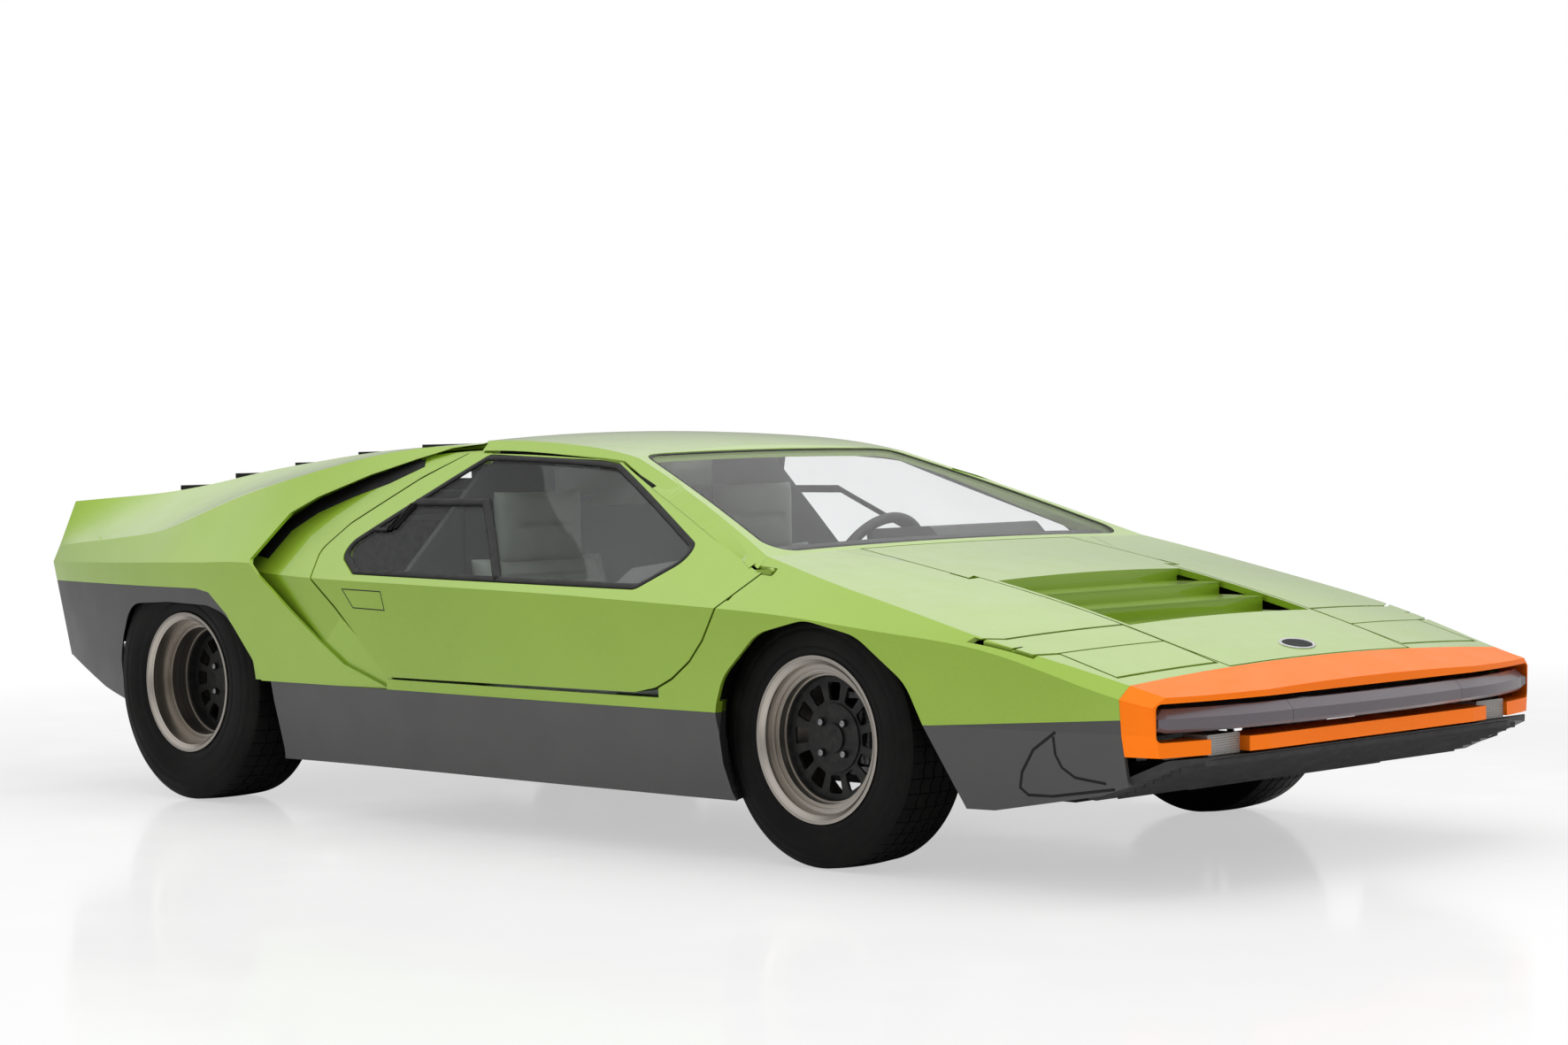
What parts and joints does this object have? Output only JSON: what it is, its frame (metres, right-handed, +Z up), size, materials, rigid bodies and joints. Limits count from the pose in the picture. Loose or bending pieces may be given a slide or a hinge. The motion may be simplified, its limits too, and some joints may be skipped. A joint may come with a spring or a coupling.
{
  "type": "supercar",
  "caption": "Low two-seat mid-engined wedge coupe with lift-up doors, stepped bonnet slats, louvred engine cover and pop-up headlamps.",
  "frame": {"origin": "centre of the bounding box's bottom face, on the ground", "axes": "+X forward to the nose, +Y to the car's left, +Z up"},
  "size_m": [4.0478, 1.7768, 0.986],
  "materials": {
    "body_paint": "metallic gloss",
    "lower_paint": "satin",
    "nose_paint": "gloss",
    "bar_paint": "satin",
    "glass": "smoked",
    "lamp_glass": "clear",
    "tail_lens": "gloss",
    "black_trim": "matte",
    "dash_trim": "matte",
    "seat_leather": "satin",
    "rim_metal": "brushed",
    "tyre_rubber": "matte",
    "steel": "satin",
    "engine_metal": "matte"
  },
  "bodies": {
    "body": {"body_side_left": "body_paint", "body_side_right": "body_paint", "bumper_bar": "bar_paint", "dashboard": "dash_trim", "engine_block": "engine_metal", "exhaust": "steel", "floor_pan": "dash_trim", "front_bay": "black_trim", "front_fender_left": "body_paint", "front_fender_right": "body_paint", "front_grille": "black_trim", "front_lamps": "lamp_glass", "front_suspension": "steel", "front_valance": "lower_paint", "nose_surround": "nose_paint", "rear_bulkhead": "dash_trim", "rear_fender_left": "body_paint", "rear_fender_right": "body_paint", "rear_suspension": "steel", "rear_valance": "lower_paint", "rear_window": "glass", "roof_panel": "body_paint", "seats": "seat_leather", "side_sills": "lower_paint", "steering_column": "steel", "tail_deck": "body_paint", "tail_lamps": "tail_lens", "tail_panel": "black_trim", "windscreen": "glass"},
    "door_left": {"door_left": "body_paint", "door_glass_left": "glass"},
    "door_right": {"door_right": "body_paint", "door_glass_right": "glass"},
    "bonnet": {"bonnet": "body_paint"},
    "headlamp_pod_left": {"headlamp_flap_front_left": "body_paint", "headlamp_flap_rear_left": "body_paint", "headlamp_carrier_left": "black_trim"},
    "headlamp_pod_right": {"headlamp_flap_front_right": "body_paint", "headlamp_flap_rear_right": "body_paint", "headlamp_carrier_right": "black_trim"},
    "engine_cover": {"engine_cover": "body_paint", "engine_louvres": "black_trim"},
    "front_knuckle_left": {"front_knuckle_left": "steel"},
    "front_knuckle_right": {"front_knuckle_right": "steel"},
    "front_wheel_left": {"front_rim_left": "rim_metal", "front_tyre_left": "tyre_rubber"},
    "front_wheel_right": {"front_rim_right": "rim_metal", "front_tyre_right": "tyre_rubber"},
    "rear_wheel_left": {"rear_rim_left": "rim_metal", "rear_tyre_left": "tyre_rubber"},
    "rear_wheel_right": {"rear_rim_right": "rim_metal", "rear_tyre_right": "tyre_rubber"},
    "steering_wheel": {"steering_wheel": "dash_trim"}
  },
  "joints": [
    {"name": "door_left_swing", "type": "hinge", "parent": "body", "child": "door_left", "pos_m": [0.8437, 0.721, 0.664], "axis": [0, 1, 0], "range_deg": [0, 75]},
    {"name": "door_right_swing", "type": "hinge", "parent": "body", "child": "door_right", "pos_m": [0.8437, -0.721, 0.664], "axis": [0, 1, 0], "range_deg": [0, 75]},
    {"name": "bonnet_swing", "type": "hinge", "parent": "body", "child": "bonnet", "pos_m": [1.82355, 0, 0.46327], "axis": [0, 1, 0], "range_deg": [0, 45]},
    {"name": "headlamp_left_lift", "type": "hinge", "parent": "body", "child": "headlamp_pod_left", "pos_m": [1.5889, 0.465, 0.51398], "axis": [0, -1, 0], "range_deg": [0, 35]},
    {"name": "headlamp_right_lift", "type": "hinge", "parent": "body", "child": "headlamp_pod_right", "pos_m": [1.5889, -0.465, 0.51398], "axis": [0, -1, 0], "range_deg": [0, 35]},
    {"name": "engine_cover_swing", "type": "hinge", "parent": "body", "child": "engine_cover", "pos_m": [-0.45825, 0, 0.94871], "axis": [0, 1, 0], "range_deg": [0, 45]},
    {"name": "steer_left", "type": "hinge", "parent": "body", "child": "front_knuckle_left", "pos_m": [1.0287, 0.6, 0.293], "axis": [0, 0, 1], "range_deg": [-25, 25]},
    {"name": "steer_right", "type": "hinge", "parent": "body", "child": "front_knuckle_right", "pos_m": [1.0287, -0.6, 0.293], "axis": [0, 0, 1], "range_deg": [-25, 25]},
    {"name": "steering_wheel_turn", "type": "hinge", "parent": "body", "child": "steering_wheel", "pos_m": [0.14745, 0.356, 0.59653], "axis": [-0.9135, 0, 0.4067], "range_deg": [-350, 350]},
    {"name": "front_wheel_left_spin", "type": "hinge", "parent": "front_knuckle_left", "child": "front_wheel_left", "pos_m": [1.0287, 0.675, 0.293], "axis": [0, 1, 0], "continuous": true},
    {"name": "front_wheel_right_spin", "type": "hinge", "parent": "front_knuckle_right", "child": "front_wheel_right", "pos_m": [1.0287, -0.675, 0.293], "axis": [0, 1, 0], "continuous": true},
    {"name": "rear_wheel_left_spin", "type": "hinge", "parent": "body", "child": "rear_wheel_left", "pos_m": [-1.3213, 0.7225, 0.323], "axis": [0, 1, 0], "continuous": true},
    {"name": "rear_wheel_right_spin", "type": "hinge", "parent": "body", "child": "rear_wheel_right", "pos_m": [-1.3213, -0.7225, 0.323], "axis": [0, 1, 0], "continuous": true}
  ],
  "couplings": [
    {"joint": "steer_right", "follows": "steer_left", "ratio": 1},
    {"joint": "steering_wheel_turn", "follows": "steer_left", "ratio": 14}
  ]
}
